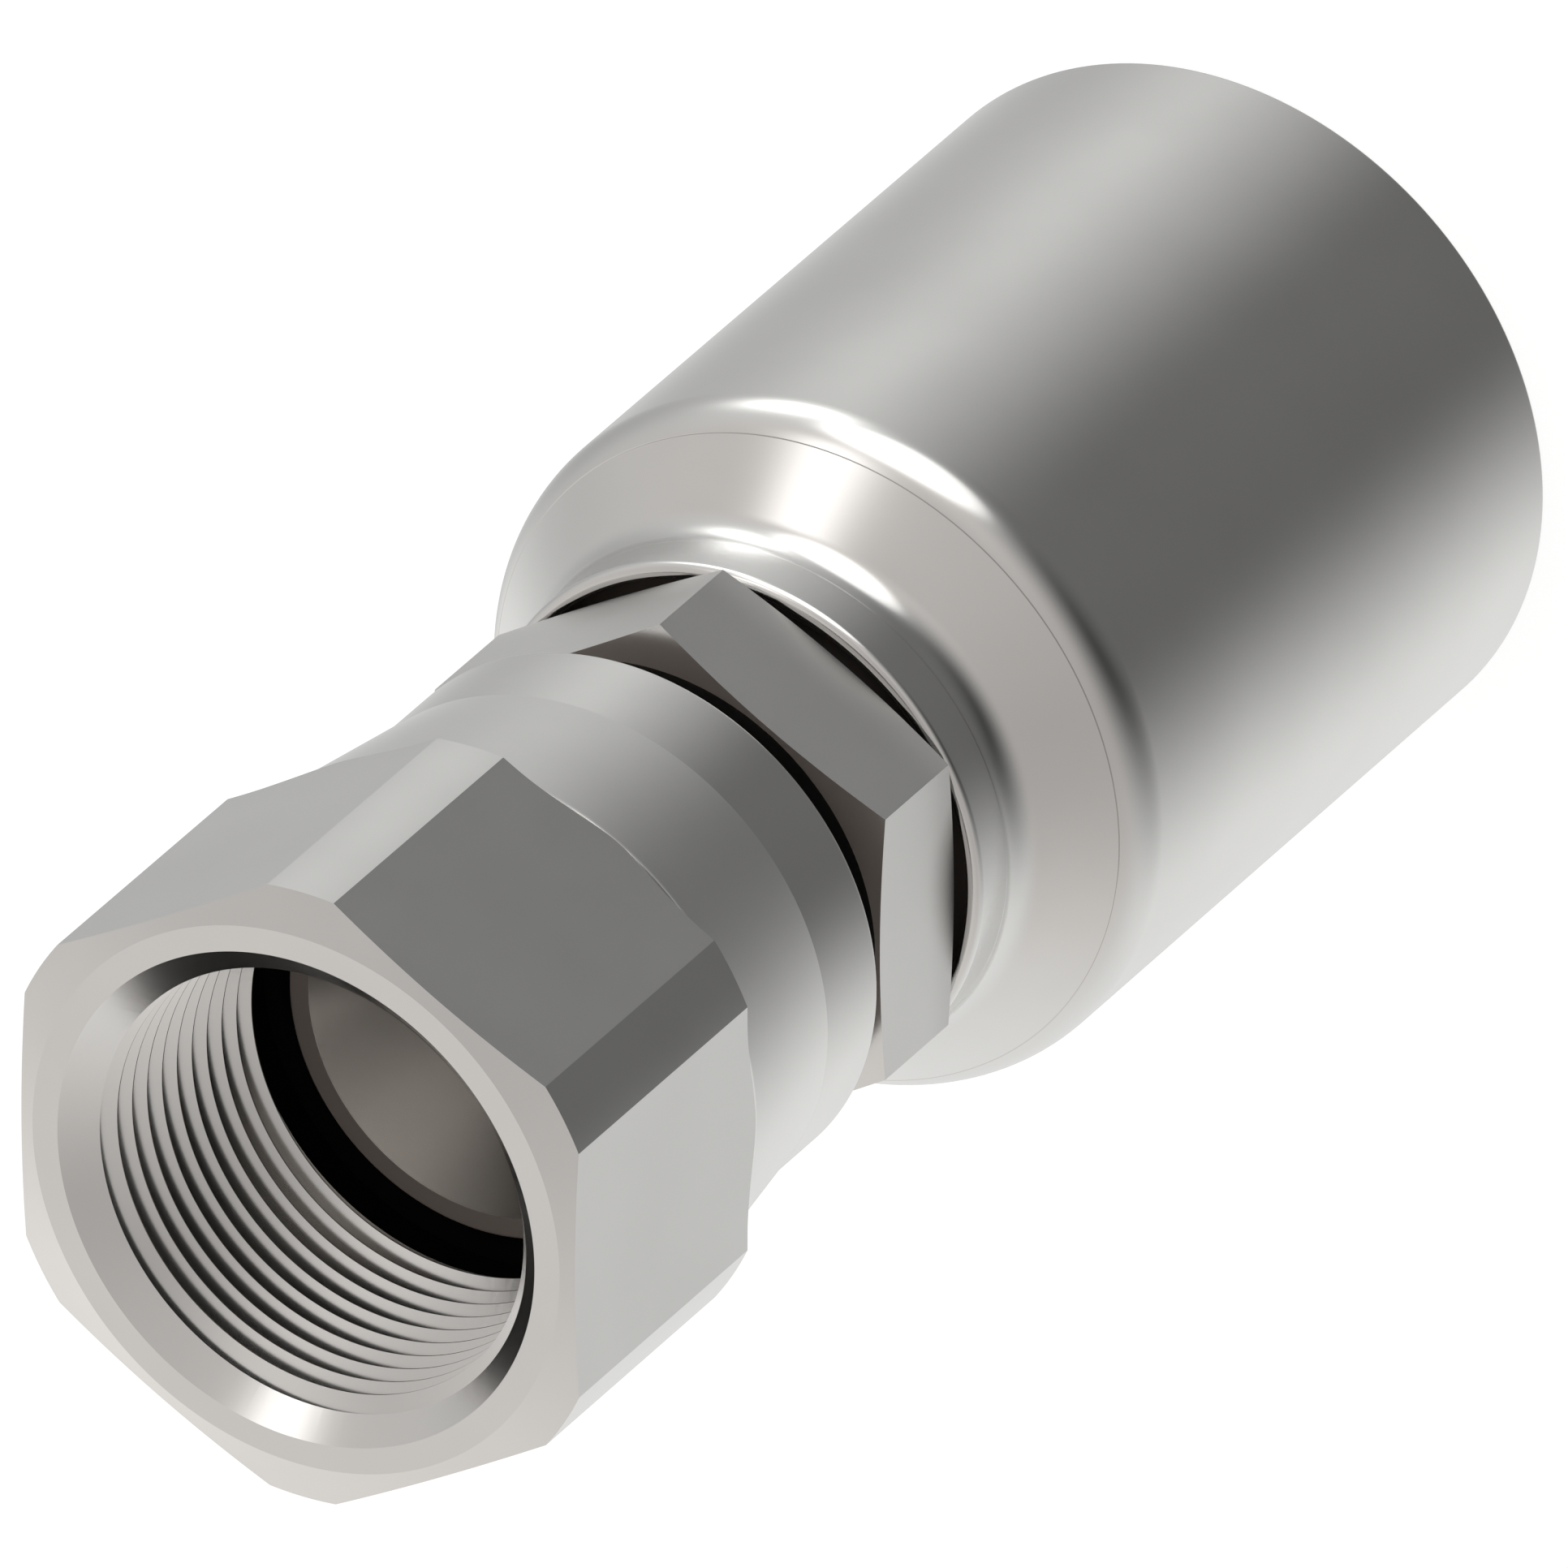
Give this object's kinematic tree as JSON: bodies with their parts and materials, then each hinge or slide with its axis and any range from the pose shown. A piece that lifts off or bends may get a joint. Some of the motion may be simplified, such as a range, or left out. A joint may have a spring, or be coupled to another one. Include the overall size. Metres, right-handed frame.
{
  "type": "straight hydraulic hose fitting",
  "caption": "Straight crimp fitting for hydraulic hose: swivel nut with internal thread and cone seat, hex nipple and crimp shell.",
  "frame": {"origin": "centre of the shell's open hose end, on the fitting's axis", "axes": "+Z along the axis from the hose end to the nut's mouth, +Y through a corner of both hexes, +X square to a flat of both hexes"},
  "size_m": [0.0552, 0.0552, 0.1332],
  "materials": {
    "nut_plating": "satin zinc plate over turned and milled steel",
    "nipple_plating": "satin zinc plate over turned and milled steel",
    "shell_plating": "satin zinc plate over turned steel, bright on the shoulder"
  },
  "bodies": {
    "hose_end": {"nipple": "nipple_plating", "shell": "shell_plating"},
    "nut": {"swivel_nut": "nut_plating"}
  },
  "joints": [
    {"name": "nut_swivel", "type": "hinge", "parent": "hose_end", "child": "nut", "pos_m": [0, 0, 0.09], "axis": [0, 0, 1], "continuous": true}
  ]
}
